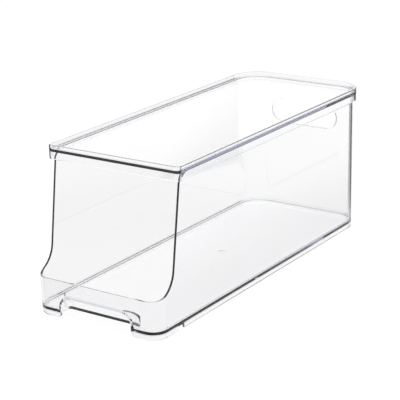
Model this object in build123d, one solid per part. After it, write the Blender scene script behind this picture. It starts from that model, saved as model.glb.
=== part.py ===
"""Stackable storage bin of clear moulded plastic, with an open front and a lift-off lid.

Two mouldings: the bin, whose side walls sweep down to a low front lip, and the lid, whose
raised rim holds the foot of the next bin in a stack.

Millimetres, +Z up, the open front faces -Y. The origin is the middle of the footprint, on the
surface that the bin stands on.
"""

from math import cos, radians, tan
import os

from build123d import *

# ---- Overall sizes -------------------------------------------------------------------------
overall_width = 148.0  # outside of the lid
overall_depth = 380.0  # front lip of the bin to the back of the lid
overall_height = 153.5  # foot to the top of the lid's rim
front_reach = 33.4  # how far the front lip stands out before the lid

# ---- Lid -----------------------------------------------------------------------------------
lid_height = 13.6  # skirt edge to rim top
lid_wall = 2.4  # rim and skirt
panel_thickness = 2.2
rim_height = 4.6  # rim above the panel
lid_front_radius = 4.8
lid_rear_radius = 30.0
rim_edge_radius = 0.9
rim_root_radius = 2.0
skirt_bevel = 0.4
lid_clearance = 1.1  # skirt to the walls inside it

# ---- Bin shell -----------------------------------------------------------------------------
wall = 2.2
floor_thickness = 2.2
foot_height = 4.8
foot_recess = 0.5  # foot ring set in from the wall above it
foot_wall = 2.2
foot_bevel = 0.4
draft = 0.16  # degrees, walls open out towards the top
front_radius = 15.0  # plan radius of the front corners
floor_radius = 3.0  # inside, where the walls meet the floor
edge_radius = 0.6  # moulded edges

# ---- Open front ----------------------------------------------------------------------------
lip_height = 37.0  # top of the low front wall
cheek_setback = 5.6  # side walls' front edge at the skirt, behind the lid's front
cheek_lean = 8.4  # degrees, the edge leans forward on its way down
cheek_top_radius = 11.5
sweep_radius = 26.0  # side wall into front lip

# ---- Finger pull under the front lip -------------------------------------------------------
pull_width = 80.6
pull_top = 20.8
pull_depth = 13.8
pull_corner_radius = 11.0  # seen from the front, the arch's corners
pull_scoop_radius = 13.0  # seen from the side, its roof down into its back
pull_back_radius = 2.5  # seen from above, its back corners
pull_foot_radius = 4.5  # where the foot ends at the pull

# ---- Hand slot in the back wall ------------------------------------------------------------
slot_width = 78.8
slot_height = 24.6
slot_drop = 29.1  # slot's top edge to the lid's rim top
slot_bevel = 0.5

# ---- Underside -----------------------------------------------------------------------------
rim_gap_before = 1.5  # foot's gap for the rim of a lid below: room before the rim
rim_gap_behind = 5.4  # and room behind it
gate_diameter = 8.0
gate_depth = 0.6
gate_nub_diameter = 1.8

# ---- Derived -------------------------------------------------------------------------------
front_y = -overall_depth / 2
rear_y = overall_depth / 2
lid_front_y = front_y + front_reach
lid_mid_y = (lid_front_y + rear_y) / 2
panel_top = overall_height - rim_height
wall_top = panel_top - panel_thickness
skirt_bottom = overall_height - lid_height
floor_bottom = foot_height
floor_top = floor_bottom + floor_thickness
slope = tan(radians(draft))
beyond = 20.0  # how far cutting tools run past the part


def rounded_plan(half_width, front, rear, front_corner, rear_corner):
    """Face on the XY plane: a rectangle with one radius at the front and one at the rear."""
    with BuildSketch(Plane.XY) as sketch:
        with Locations((0, (front + rear) / 2)):
            Rectangle(2 * half_width, rear - front)
        fillet(sketch.vertices().group_by(Axis.Y)[0], front_corner)
        fillet(sketch.vertices().group_by(Axis.Y)[-1], rear_corner)
    return sketch.sketch


def lid_plan(inset):
    """Plan of the lid, set in from its outside."""
    return rounded_plan(
        overall_width / 2 - inset,
        lid_front_y + inset,
        rear_y - inset,
        lid_front_radius - inset,
        lid_rear_radius - inset,
    )


def bin_plan(height, inset=0.0):
    """Plan of the bin's outside at a height, grown by the draft and set in from there."""
    reach = lid_wall + lid_clearance + (wall_top - height) * slope + inset
    return rounded_plan(
        overall_width / 2 - reach,
        front_y + (lip_height - height) * slope + inset,
        rear_y - reach,
        front_radius + height * slope - inset,
        lid_rear_radius - reach,
    )


def at_height(shape, height):
    return Pos(0, 0, height) * shape


def scoop(grow=0.0):
    """Block of the finger pull's shape, grown all round; the front, side and top views shape it."""
    half = pull_width / 2 + grow
    top = pull_top + grow
    depth = pull_depth + grow
    with BuildSketch(Plane.XZ) as arch:
        Rectangle(2 * half, 2 * top)
        fillet(arch.vertices().group_by(Axis.Y)[-1], pull_corner_radius + grow)
    with BuildSketch(Plane.YZ) as profile:
        Rectangle(2 * depth, 2 * top)
        fillet(profile.vertices().group_by(Axis.X)[-1].group_by(Axis.Y)[-1], pull_scoop_radius + grow)
    plan = rounded_plan(half, -depth, depth, pull_back_radius + grow, pull_back_radius + grow)
    arch_prism = extrude(arch.sketch, depth, both=True)
    profile_prism = extrude(profile.sketch, half, both=True)
    plan_prism = extrude(plan, top, both=True)
    return Pos(0, front_y, 0) * (arch_prism & profile_prism & plan_prism)


def make_open_front():
    """Everything in front of the side walls' leaning edges and above the front lip."""
    lean = tan(radians(cheek_lean))
    skirt_y = lid_front_y + cheek_setback
    foot_y = skirt_y - (skirt_bottom - lip_height) * lean
    high_z = wall_top + beyond
    high_y = skirt_y + (high_z - skirt_bottom) * lean
    with BuildPart() as opening:
        with BuildSketch(Plane.YZ) as sketch:
            with BuildLine():
                Polyline(
                    (front_y - beyond, lip_height),
                    (foot_y, lip_height),
                    (high_y, high_z),
                    (front_y - beyond, high_z),
                    close=True,
                )
            make_face()
            sweep_corner = sketch.vertices().sort_by_distance((0, foot_y, lip_height))[0]
            fillet(sweep_corner, sweep_radius)
        extrude(amount=overall_width, both=True)
    return opening.part


def make_shell():
    """Drafted outer block, hollowed to one wall thickness over a rounded floor."""
    block = extrude(at_height(bin_plan(floor_bottom), floor_bottom), wall_top - floor_bottom, taper=-draft)
    cavity_plan = bin_plan(floor_top, wall)
    cavity = extrude(at_height(cavity_plan, floor_top), wall_top + beyond - floor_top, taper=-draft)
    cavity = fillet(cavity.faces().sort_by(Axis.Z)[0].edges(), floor_radius)
    return block, cavity


def make_foot():
    """Ring that carries the bin, open at the finger pull and where a lid's rim passes below."""
    outer = extrude(bin_plan(0, foot_recess), foot_height + floor_thickness / 2)
    inner = extrude(bin_plan(0, foot_recess + foot_wall), foot_height)
    gap_front = lid_front_y - rim_gap_before
    gap_rear = lid_front_y + lid_wall + rim_gap_behind
    rim_gap = Box(
        2 * overall_width,
        gap_rear - gap_front,
        2 * foot_height,
        align=(Align.CENTER, Align.MIN, Align.CENTER),
    )
    pull_gap = Box(pull_width, 2 * pull_depth, 2 * foot_height)
    ring = outer - inner - Pos(0, gap_front, 0) * rim_gap - Pos(0, front_y, 0) * pull_gap
    pull_ends = ring.edges().group_by(Axis.Z)[0].filter_by(Axis.Y).group_by(SortBy.LENGTH)[0]
    ring = fillet(pull_ends, pull_foot_radius)
    return chamfer(ring.edges().group_by(Axis.Z)[0], foot_bevel)


def boundary_edges(faces):
    """Edges round the outside of a strip of faces, without the seams inside it."""
    edges = ShapeList(edge for face in faces for edge in face.edges())
    return ShapeList(edge for edge in edges if sum(edge.is_same(other) for other in edges) == 1)


def rim_strip(body):
    """The narrow faces along the top of the walls, down the cheeks and over the front lip."""
    above_lip = body.faces().filter_by(lambda face: face.center().Z > lip_height - edge_radius)
    flats = above_lip.filter_by(GeomType.PLANE).filter_by(
        lambda face: abs(face.normal_at().X) < slope / 2 and abs(face.normal_at().Y) < cos(radians(2 * draft))
    )
    bends = above_lip.filter_by(GeomType.CYLINDER).filter_by(
        lambda face: abs(face.axis_of_rotation.direction.X) > cos(radians(draft))
    )
    return flats + bends


def slot_rims(body, slot_z):
    """Edges round both mouths of the hand slot."""
    back = body.faces().filter_by_position(Axis.Y, rear_y - lid_rear_radius, rear_y)
    middle = back.filter_by_position(Axis.X, -slot_width / 2, slot_width / 2)
    walls = middle.filter_by_position(Axis.Z, slot_z - slot_height / 2, slot_z + slot_height / 2)
    return boundary_edges(walls)


def make_bin():
    block, cavity = make_shell()
    body = block - cavity

    body = body + (scoop(wall) & block)
    body = body + make_foot()
    body = body - scoop()

    body = body - make_open_front()
    top_corners = body.edges().filter_by(Axis.X).group_by(Axis.Z)[-1].group_by(Axis.Y)[0]
    body = fillet(top_corners, cheek_top_radius)
    body = fillet(boundary_edges(rim_strip(body)), edge_radius)

    slot_z = overall_height - slot_drop - slot_height / 2
    slot = extrude(Plane.XZ * Pos(0, slot_z) * SlotOverall(slot_width, slot_height), -overall_depth)
    body = body - slot
    body = chamfer(slot_rims(body, slot_z), slot_bevel)

    gate = Cylinder(gate_diameter / 2, 2 * gate_depth) - Cylinder(gate_nub_diameter / 2, 2 * gate_depth)
    body = body - Pos(0, lid_mid_y, floor_bottom) * gate
    return body


def make_lid():
    """Flat panel with a rim above it and a skirt below it, both round the whole edge."""
    block = extrude(at_height(lid_plan(0), skirt_bottom), lid_height)
    block = fillet(block.faces().sort_by(Axis.Z)[-1].edges(), rim_edge_radius)
    tray = extrude(at_height(lid_plan(lid_wall), panel_top), rim_height + beyond)
    tray = fillet(tray.faces().sort_by(Axis.Z)[0].edges(), rim_root_radius)
    hollow = extrude(at_height(lid_plan(lid_wall), wall_top), -(lid_height + beyond))
    lid = block - tray - hollow
    return chamfer(lid.faces().sort_by(Axis.Z)[0].edges(), skirt_bevel)


os.makedirs("parts", exist_ok=True)
nodes = {"bin": make_bin(), "lid": make_lid()}
for name, shape in nodes.items():
    export_step(shape, f"parts/{name}.step")
    print(name, "solids", len(shape.solids()), "volume cm3", round(shape.volume / 1000, 1))
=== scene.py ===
# %% [markdown]
# # A clear stackable storage bin
# The object is a kitchen and pantry bin in two clear mouldings: an open-front bin and a lift-off
# lid. Both shapes are exact in the CAD frame, down to their rounded edges, so no new piece is
# made here. What is left is the hard part of a clear object: it has no colour of its own, and is
# seen only by what it bends, mirrors and swallows. This lesson sets up the camera, the table and
# the studio, and then makes the plastic, because both halves are needed before clear plastic
# reads.

# %% Load the frame
from math import cos, radians, sin

import bmesh
import bpy
from mathutils import Matrix, Vector


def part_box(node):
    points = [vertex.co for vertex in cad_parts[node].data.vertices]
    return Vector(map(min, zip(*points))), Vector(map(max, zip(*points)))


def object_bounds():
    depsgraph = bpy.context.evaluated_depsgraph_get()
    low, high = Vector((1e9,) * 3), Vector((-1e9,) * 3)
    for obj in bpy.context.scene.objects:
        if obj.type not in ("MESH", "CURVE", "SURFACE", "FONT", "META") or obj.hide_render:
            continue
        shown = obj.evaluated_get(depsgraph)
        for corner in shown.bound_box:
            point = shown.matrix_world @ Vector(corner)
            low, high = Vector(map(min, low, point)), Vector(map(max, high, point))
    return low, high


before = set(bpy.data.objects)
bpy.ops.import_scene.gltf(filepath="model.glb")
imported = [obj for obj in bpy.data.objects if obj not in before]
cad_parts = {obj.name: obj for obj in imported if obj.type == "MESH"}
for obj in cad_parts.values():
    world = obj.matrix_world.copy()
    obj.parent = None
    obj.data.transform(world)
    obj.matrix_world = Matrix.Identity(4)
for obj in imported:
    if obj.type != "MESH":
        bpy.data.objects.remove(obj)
cad_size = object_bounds()

# %% [markdown]
# ## Measures
# The table and its painted dark bands are placed from the object's own box. They could be typed in as
# numbers, but then they would stay behind if the bin were made longer or wider. Only the camera
# has a place of its own.

# %% Measures from the frame
low, high = Vector(cad_size[0]), Vector(cad_size[1])
middle = (low + high) / 2
bin_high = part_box("bin")[1]
lid_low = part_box("lid")[0]
print("whole object, mm", [round(1000 * v, 1) for v in high - low])
print("skirt reaches down over the walls, mm", round(1000 * (bin_high[2] - lid_low[2]), 1))

# %% [markdown]
# ## Camera
# The camera stands to the right of the open front and a little above the lid, so that the front,
# one long side and the lid all show. A long lens keeps the long edges nearly parallel. The camera
# could be aimed with a Track To constraint at an empty. Here it is set as a tripod head is, by a
# turn, a tilt and a small roll, because then each of the three can be corrected by itself.

# %% Camera
camera_turn = radians(34.523)  # from straight in front of the opening, towards the right side
camera_tilt = radians(18.351)  # looking down
camera_roll = radians(-1.423)
camera_place = Vector((0.73372, -1.08458, 0.50138))
lens_mm = 124.5

camera_data = bpy.data.cameras.new("product_camera")
camera_data.lens = lens_mm
camera_data.sensor_width = 36.0
camera_data.clip_end = 50.0
camera = bpy.data.objects.new("product_camera", camera_data)
camera.matrix_world = (
    Matrix.Translation(camera_place)
    @ Matrix.Rotation(camera_turn, 4, "Z")
    @ Matrix.Rotation(radians(90) - camera_tilt, 4, "X")
    @ Matrix.Rotation(camera_roll, 4, "Z")
)
scene = bpy.context.scene
scene.collection.objects.link(camera)
scene.camera = camera
print("camera to the object's middle, m", round((camera_place - middle).length, 3))

# %% [markdown]
# ## Bounces and tone
# A ray that enters a wall edge-on bounces along inside it many times before it comes out, and it is
# these long paths that draw the dark edges of clear plastic. With the usual twelve bounces they
# would end early and turn black, so more are allowed. The Standard view keeps the white table
# white, where a filmic curve would grey it.

# %% Bounces and tone
scene.view_settings.view_transform = "Standard"
scene.cycles.max_bounces = 32
scene.cycles.transmission_bounces = 32
scene.cycles.glossy_bounces = 16
scene.cycles.transparent_max_bounces = 32
print("bounces", scene.cycles.max_bounces, "view", scene.view_settings.view_transform)

# %% [markdown]
# ## Node helpers
# Every finish below is a tree of shader nodes. The trees could be clicked together in the editor
# and saved in a file, but written as code they can be read, compared and changed. Four steps come
# back in them: start a material, add a node with its settings, write a grey as a colour, and let
# the kind of ray decide between two shaders.

# %% Helpers that start a tree
def new_material(name):
    """Node material with its node tree, its Principled shader and its output."""
    mat = bpy.data.materials.new(name)
    mat.use_nodes = True
    tree = mat.node_tree
    return mat, tree, tree.nodes["Principled BSDF"], tree.nodes["Material Output"]


def add_node(tree, kind, **settings):
    """New node, with settings such as its operation."""
    node = tree.nodes.new(kind)
    for setting, value in settings.items():
        setattr(node, setting, value)
    return node


def grey(level):
    """Colour of a grey level."""
    return (level, level, level, 1)


def choose(tree, kind_of_ray, for_others, for_this_kind):
    """One of two shaders, by an output of Light Path."""
    mix = add_node(tree, "ShaderNodeMixShader")
    tree.links.new(kind_of_ray, mix.inputs["Fac"])
    tree.links.new(for_others, mix.inputs[1])
    tree.links.new(for_this_kind, mix.inputs[2])
    return mix.outputs["Shader"]


print("helpers", [helper.__name__ for helper in (new_material, add_node, grey, choose)])

# %% [markdown]
# The table's grey levels are easiest to set as a short list of places with a level at each. A Map
# Range node turns the place into a share of the list's whole reach, and a Color Ramp holds the
# levels. Float Curve could do the same, but a ramp's stops are easier to read and to move.

# %% Helpers for grey levels
def add_ramp(tree, value, levels):
    """Grey level that follows a value through a list of (value, level) stops."""
    start, end = levels[0][0], levels[-1][0]
    share = add_node(tree, "ShaderNodeMapRange")
    share.inputs["From Min"].default_value = start
    share.inputs["From Max"].default_value = end
    ramp = add_node(tree, "ShaderNodeValToRGB")
    stops = ramp.color_ramp.elements
    stops.remove(stops[1])
    for number, (at, level) in enumerate(levels):
        position = (at - start) / (end - start)
        stop = stops[0] if number == 0 else stops.new(position)
        stop.position = position
        stop.color = grey(level)
    tree.links.new(value, share.inputs["Value"])
    tree.links.new(share.outputs["Result"], ramp.inputs["Fac"])
    return ramp.outputs["Color"]


def multiply(tree, first, second):
    """Product of two colours."""
    mix = add_node(tree, "ShaderNodeMix", data_type="RGBA", blend_type="MULTIPLY")
    mix.inputs["Factor"].default_value = 1.0
    tree.links.new(first, mix.inputs["A"])
    tree.links.new(second, mix.inputs["B"])
    return mix.outputs["Result"]


print("helpers", [helper.__name__ for helper in (add_ramp, multiply)])

# %% [markdown]
# ## Table
# The bin stands on a plain white table. It needs no thickness, because nobody sees its edge, so it
# is one face, made by the grid operator at the height of the bin's foot. It isn't part of the
# object.

# %% Table top
table_half = 8.0

sheet = bmesh.new()
bmesh.ops.create_grid(
    sheet, x_segments=1, y_segments=1, size=table_half, matrix=Matrix.Translation((0, 0, low.z))
)
mesh = bpy.data.meshes.new("table")
sheet.to_mesh(mesh)
sheet.free()
table = bpy.data.objects.new("table", mesh)
scene.collection.objects.link(table)
print("table top at z", round(low.z, 4), "faces", len(mesh.polygons))

# %% [markdown]
# What the plastic bends towards the camera is not the same as what the camera sees beside the bin.
# A studio is bright only on the table: at the side the room falls off into the dark, and that is
# what gives a clear edge its line. Here that darkness is painted on the table as painted shade,
# together with a painted soft shadow round the bin, and only rays that come through or off the
# plastic see it: to them the table is a little darker than white. Behind the rear right corner the
# painted shade goes dark, and so it does in a band just right of the bin and a band just in front
# of it, which is what the upright faces mirror low down. Black cards round the bin would do the
# same, but the camera would see the cards as well.
#
# Three lists hold these levels of painted shade: one by the heading from the rear right corner, one
# by how far right, and one by how far in front.

# %% Table levels
# Headings are from straight back, clockwise seen from above.
# Painted shade by heading: a painted soft shadow round the bin, and a painted dark zone behind the rear
# right corner from -12 to 10 degrees.
painted_shade_by_heading = [
    (radians(degrees), level)
    for degrees, level in (
        (-180, 0.86), (-140, 0.86), (-118, 0.84), (-78, 0.87), (-38, 0.90), (-22, 0.92),
        (-12, 0.04), (10, 0.04), (26, 1.0), (180, 1.0),
    )
]
# Painted shade by how far right: a painted dark band just right of the bin.
painted_shade_by_right = [
    (high.x + away, level)
    for away, level in ((0.001, 1.0), (0.016, 0.35), (0.046, 0.40), (0.126, 0.90), (0.186, 1.0))
]
# Painted shade by how far in front: a painted dark band just in front of the bin.
painted_shade_by_front = [
    (low.y - away, level)
    for away, level in ((0.41, 1.0), (0.19, 0.95), (0.09, 0.35), (0.02, 0.35), (0.002, 1.0))
]
# How far the painted dark bands fade towards white for a ray that comes through the plastic.
painted_band_fading = 0.6  # how far the two bands fade for a ray that comes through the plastic
print("levels", len(painted_shade_by_heading), len(painted_shade_by_right), len(painted_shade_by_front))

# %% [markdown]
# The two painted dark bands are meant for the mirror images. A ray that comes straight through the
# walls would see them too, as grey stripes behind the bin, so for such a ray they are faded towards
# white. The heading is the arc tangent of how far right and how far back a place is from the corner.

# %% Level of the table under a ray
def painted_shade_on_table(tree, path):
    """Painted shade on the table at the place that a ray from the plastic meets."""
    place = add_node(tree, "ShaderNodeTexCoord")
    from_corner = add_node(tree, "ShaderNodeMapping")
    from_corner.inputs["Location"].default_value = (-bin_high[0], -bin_high[1], 0)
    off_corner = add_node(tree, "ShaderNodeSeparateXYZ")
    heading = add_node(tree, "ShaderNodeMath", operation="ARCTAN2")
    whole = add_node(tree, "ShaderNodeSeparateXYZ")
    tree.links.new(place.outputs["Object"], from_corner.inputs["Vector"])
    tree.links.new(from_corner.outputs["Vector"], off_corner.inputs["Vector"])
    tree.links.new(off_corner.outputs["X"], heading.inputs[0])
    tree.links.new(off_corner.outputs["Y"], heading.inputs[1])
    tree.links.new(place.outputs["Object"], whole.inputs["Vector"])
    by_heading = add_ramp(tree, heading.outputs["Value"], painted_shade_by_heading)
    by_right = add_ramp(tree, whole.outputs["X"], painted_shade_by_right)
    by_front = add_ramp(tree, whole.outputs["Y"], painted_shade_by_front)
    fading = add_node(tree, "ShaderNodeMath", operation="MULTIPLY")
    fading.inputs[1].default_value = painted_band_fading
    bands = add_node(tree, "ShaderNodeMix", data_type="RGBA")
    bands.inputs["B"].default_value = grey(1)
    tree.links.new(path.outputs["Is Transmission Ray"], fading.inputs[0])
    tree.links.new(fading.outputs["Value"], bands.inputs["Factor"])
    tree.links.new(multiply(tree, by_right, by_front), bands.inputs["A"])
    return multiply(tree, by_heading, bands.outputs["Result"])


print("bands keep", round(1 - painted_band_fading, 2), "of their depth through the plastic")

# %% [markdown]
# A lit white diffuse table would do, but its brightness would follow every lamp. So the table
# carries most of its light as emission, and a little as diffuse, which leaves a faint contact
# shadow. To rays from the plastic the emission's colour is the painted shade of the levels above,
# with a smaller diffuse share.

# %% Table finish
table_glow = 0.86  # light that the table gives by itself, to the camera
table_shade = 0.2  # the share that the room has to light, so that a shadow shows
table_shade_from_plastic = 0.1


def table_finish():
    mat, tree, shader, output = new_material("white_table")
    shader.inputs["Base Color"].default_value = grey(table_shade)
    shader.inputs["Roughness"].default_value = 0.9
    shader.inputs["Specular IOR Level"].default_value = 0.0
    shader.inputs["Emission Color"].default_value = grey(1)
    shader.inputs["Emission Strength"].default_value = table_glow
    path = add_node(tree, "ShaderNodeLightPath")
    glow = add_node(tree, "ShaderNodeEmission")
    shade = add_node(tree, "ShaderNodeBsdfDiffuse")
    shade.inputs["Color"].default_value = grey(table_shade_from_plastic)
    lit = add_node(tree, "ShaderNodeAddShader")
    # The emission's colour here is painted shade: a painted soft shadow and painted dark zones and bands.
    tree.links.new(painted_shade_on_table(tree, path), glow.inputs["Color"])
    tree.links.new(glow.outputs["Emission"], lit.inputs[0])
    tree.links.new(shade.outputs["BSDF"], lit.inputs[1])
    seen = choose(tree, path.outputs["Is Camera Ray"], lit.outputs["Shader"], shader.outputs["BSDF"])
    tree.links.new(seen, output.inputs["Surface"])
    return mat


mesh.materials.append(table_finish())
print("table is", mesh.materials[0].name)

# %% [markdown]
# ## Room
# The world is the rest of the studio. Straight to the camera it is white, so that there is no
# horizon behind the table. To the plastic it is an even white room with one broad soft light low
# behind the bin, a little to its left, which shines through the walls towards the camera, as clear
# things are usually lit. An area lamp could stand there, but its sharp edge would show as a
# rectangle in every wall, and a glow that fades out smoothly doesn't.

# %% Room
softbox_heading = radians(-34)  # behind the bin, towards its left
softbox_height = radians(24)
softbox_strength = 1.4
softbox_core = radians(15)  # full strength within this angle of its middle
softbox_reach = radians(60)  # and faded out at this one


def studio_world():
    world = bpy.data.worlds.new("studio")
    world.use_nodes = True
    tree = world.node_tree
    white = tree.nodes["Background"]
    white.inputs["Color"].default_value = grey(1)
    white.inputs["Strength"].default_value = 1.0
    room = add_node(tree, "ShaderNodeBackground")
    way = add_node(tree, "ShaderNodeTexCoord")
    towards = add_node(tree, "ShaderNodeVectorMath", operation="DOT_PRODUCT")
    towards.inputs[1].default_value = (
        sin(softbox_heading) * cos(softbox_height),
        cos(softbox_heading) * cos(softbox_height),
        sin(softbox_height),
    )
    glow = add_node(tree, "ShaderNodeMapRange", interpolation_type="SMOOTHSTEP")
    glow.inputs["From Min"].default_value = cos(softbox_reach)
    glow.inputs["From Max"].default_value = cos(softbox_core)
    glow.inputs["To Min"].default_value = 1.0
    glow.inputs["To Max"].default_value = softbox_strength
    path = add_node(tree, "ShaderNodeLightPath")
    tree.links.new(way.outputs["Generated"], towards.inputs[0])
    tree.links.new(towards.outputs["Value"], glow.inputs["Value"])
    tree.links.new(glow.outputs["Result"], room.inputs["Strength"])
    seen = choose(
        tree, path.outputs["Is Camera Ray"], room.outputs["Background"], white.outputs["Background"]
    )
    tree.links.new(seen, tree.nodes["World Output"].inputs["Surface"])
    return world


scene.world = studio_world()
print("soft light", softbox_strength, "times as bright as the room")

# %% [markdown]
# ## Moulded surface
# A polished mould leaves a face that is smooth but not optically flat. As the plastic cools it
# shrinks a little unevenly, which leaves long, very shallow waves, and handling adds a haze of fine
# scuffs in patches. The waves make straight lines seen through a wall swim slightly, and the haze
# softens the mirror images. Both mouldings have this, so it is a node group that is built once. It
# puts out a height for a Bump node, and a roughness.
#
# The patterns read Object coordinates, so they stay on the object when the lid lifts. A Noise
# texture stands for both, because nothing here repeats: a Wave or Voronoi texture would show
# stripes or cells.

# %% Sockets of the moulded surface
patches_per_metre = 26.0
scuffs_per_metre = 900.0
patch_edge, patch_full = 0.45, 0.75  # noise values where a scuffed patch starts, and is whole

surface_inputs = {
    "Wave Length": 0.045,
    "Smooth Roughness": 0.015,
    "Scuffed Roughness": 0.05,
    "Scuff Amount": 0.4,
}
surface_outputs = ("Height", "Roughness")
moulded_surface = bpy.data.node_groups.new("moulded_surface", "ShaderNodeTree")
for name, usual in surface_inputs.items():
    socket = moulded_surface.interface.new_socket(name=name, in_out="INPUT", socket_type="NodeSocketFloat")
    socket.default_value = usual
for name in surface_outputs:
    moulded_surface.interface.new_socket(name=name, in_out="OUTPUT", socket_type="NodeSocketFloat")
print("group takes", list(surface_inputs), "and puts out", list(surface_outputs))

# %% [markdown]
# Inside the group, one noise makes the waves. The haze is made as it comes about on the real
# object: a coarse noise says where things have rubbed, a fine one makes the scuffs there, and their
# product sets how far the roughness moves from smooth to scuffed.

# %% Nodes of the moulded surface
def fill_moulded_surface(group):
    links = group.links
    given = add_node(group, "NodeGroupInput")
    result = add_node(group, "NodeGroupOutput")
    place = add_node(group, "ShaderNodeTexCoord")
    per_metre = add_node(group, "ShaderNodeMath", operation="DIVIDE")
    per_metre.inputs[0].default_value = 1.0
    waves = add_node(group, "ShaderNodeTexNoise")
    waves.inputs["Detail"].default_value = 1.0
    patches = add_node(group, "ShaderNodeTexNoise")
    patches.inputs["Scale"].default_value = patches_per_metre
    patches.inputs["Detail"].default_value = 3.0
    scuffs = add_node(group, "ShaderNodeTexNoise")
    scuffs.inputs["Scale"].default_value = scuffs_per_metre
    scuffs.inputs["Detail"].default_value = 2.0
    where = add_node(group, "ShaderNodeMapRange")
    where.inputs["From Min"].default_value = patch_edge
    where.inputs["From Max"].default_value = patch_full
    scuffed = add_node(group, "ShaderNodeMath", operation="MULTIPLY")
    amount = add_node(group, "ShaderNodeMath", operation="MULTIPLY")
    rough = add_node(group, "ShaderNodeMapRange")
    for texture in (waves, patches, scuffs):
        links.new(place.outputs["Object"], texture.inputs["Vector"])
    links.new(given.outputs["Wave Length"], per_metre.inputs[1])
    links.new(per_metre.outputs["Value"], waves.inputs["Scale"])
    links.new(patches.outputs["Fac"], where.inputs["Value"])
    links.new(where.outputs["Result"], scuffed.inputs[0])
    links.new(scuffs.outputs["Fac"], scuffed.inputs[1])
    links.new(scuffed.outputs["Value"], amount.inputs[0])
    links.new(given.outputs["Scuff Amount"], amount.inputs[1])
    links.new(amount.outputs["Value"], rough.inputs["Value"])
    links.new(given.outputs["Smooth Roughness"], rough.inputs["To Min"])
    links.new(given.outputs["Scuffed Roughness"], rough.inputs["To Max"])
    links.new(waves.outputs["Fac"], result.inputs["Height"])
    links.new(rough.outputs["Result"], result.inputs["Roughness"])


fill_moulded_surface(moulded_surface)
print("group", moulded_surface.name, "has", len(moulded_surface.nodes), "nodes")

# %% [markdown]
# ## Clear plastic
# The bin and the lid are injection moulded in the same clear plastic, so they share one kind of
# finish. It could be faked with a thin transparent shader and a painted dark outline, but the walls
# here are real solids, so true refraction draws every edge in its right place.
#
# The plastic isn't perfectly clear: it swallows one or two per cent of the light in each wall, and
# half or more of what runs the whole height of a wall inside it. That is a Volume Absorption,
# whose colour leans to violet. A tint on the Base Color would colour thin and thick places alike.
# Light on its way to the table goes through a plain Transparent shader, because otherwise the walls
# would throw hard shadows.

# %% Clear plastic
refraction = 1.55  # acrylic, PET and polystyrene lie between 1.49 and 1.59
wave_height = 0.00002
clear_to_shadows = 0.9
swallow_colour = (0.44, 0.46, 0.62, 1)
swallow_density = 12.0


def clear_plastic(name, wave_length, scuff_amount):
    mat, tree, shader, output = new_material(name)
    shader.inputs["Base Color"].default_value = grey(1)
    shader.inputs["IOR"].default_value = refraction
    shader.inputs["Transmission Weight"].default_value = 1.0
    surface = add_node(tree, "ShaderNodeGroup", node_tree=moulded_surface)
    surface.inputs["Wave Length"].default_value = wave_length
    surface.inputs["Scuff Amount"].default_value = scuff_amount
    bump = add_node(tree, "ShaderNodeBump")
    bump.inputs["Strength"].default_value = 1.0
    bump.inputs["Distance"].default_value = wave_height
    tree.links.new(surface.outputs["Height"], bump.inputs["Height"])
    tree.links.new(surface.outputs["Roughness"], shader.inputs["Roughness"])
    tree.links.new(bump.outputs["Normal"], shader.inputs["Normal"])
    path = add_node(tree, "ShaderNodeLightPath")
    clear = add_node(tree, "ShaderNodeBsdfTransparent")
    clear.inputs["Color"].default_value = grey(clear_to_shadows)
    seen = choose(tree, path.outputs["Is Shadow Ray"], shader.outputs["BSDF"], clear.outputs["BSDF"])
    tree.links.new(seen, output.inputs["Surface"])
    absorb = add_node(tree, "ShaderNodeVolumeAbsorption")
    absorb.inputs["Color"].default_value = swallow_colour
    absorb.inputs["Density"].default_value = swallow_density
    tree.links.new(absorb.outputs["Volume"], output.inputs["Volume"])
    return mat


print("plastic bends light by", refraction, "and its waves are", wave_height * 1000, "mm high")

# %% [markdown]
# ## Bin
# The bin is the larger moulding: its walls are deep, and plastic that flows a long way cools with
# longer waves. Things slide in and out of it, so it takes more scuffs than the lid. A copy of its
# mesh with its own material could stand in for it, but the CAD node's shape is right, so the node
# keeps its mesh and only changes its material.

# %% Bin
def finish_node(node, material):
    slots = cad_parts[node].data.materials
    slots.clear()
    slots.append(material)
    print(node, "is", material.name)


finish_node("bin", clear_plastic("clear_bin_plastic", wave_length=0.05, scuff_amount=0.8))

# %% [markdown]
# ## Lid
# The lid is a flat panel with short ways for the plastic to flow, so its waves are shorter, and it
# lies on top where only the next bin's foot rubs it. One material on both would do from far away,
# but then the two would wave and scuff alike where they meet.

# %% Lid
finish_node("lid", clear_plastic("clear_lid_plastic", wave_length=0.035, scuff_amount=0.5))
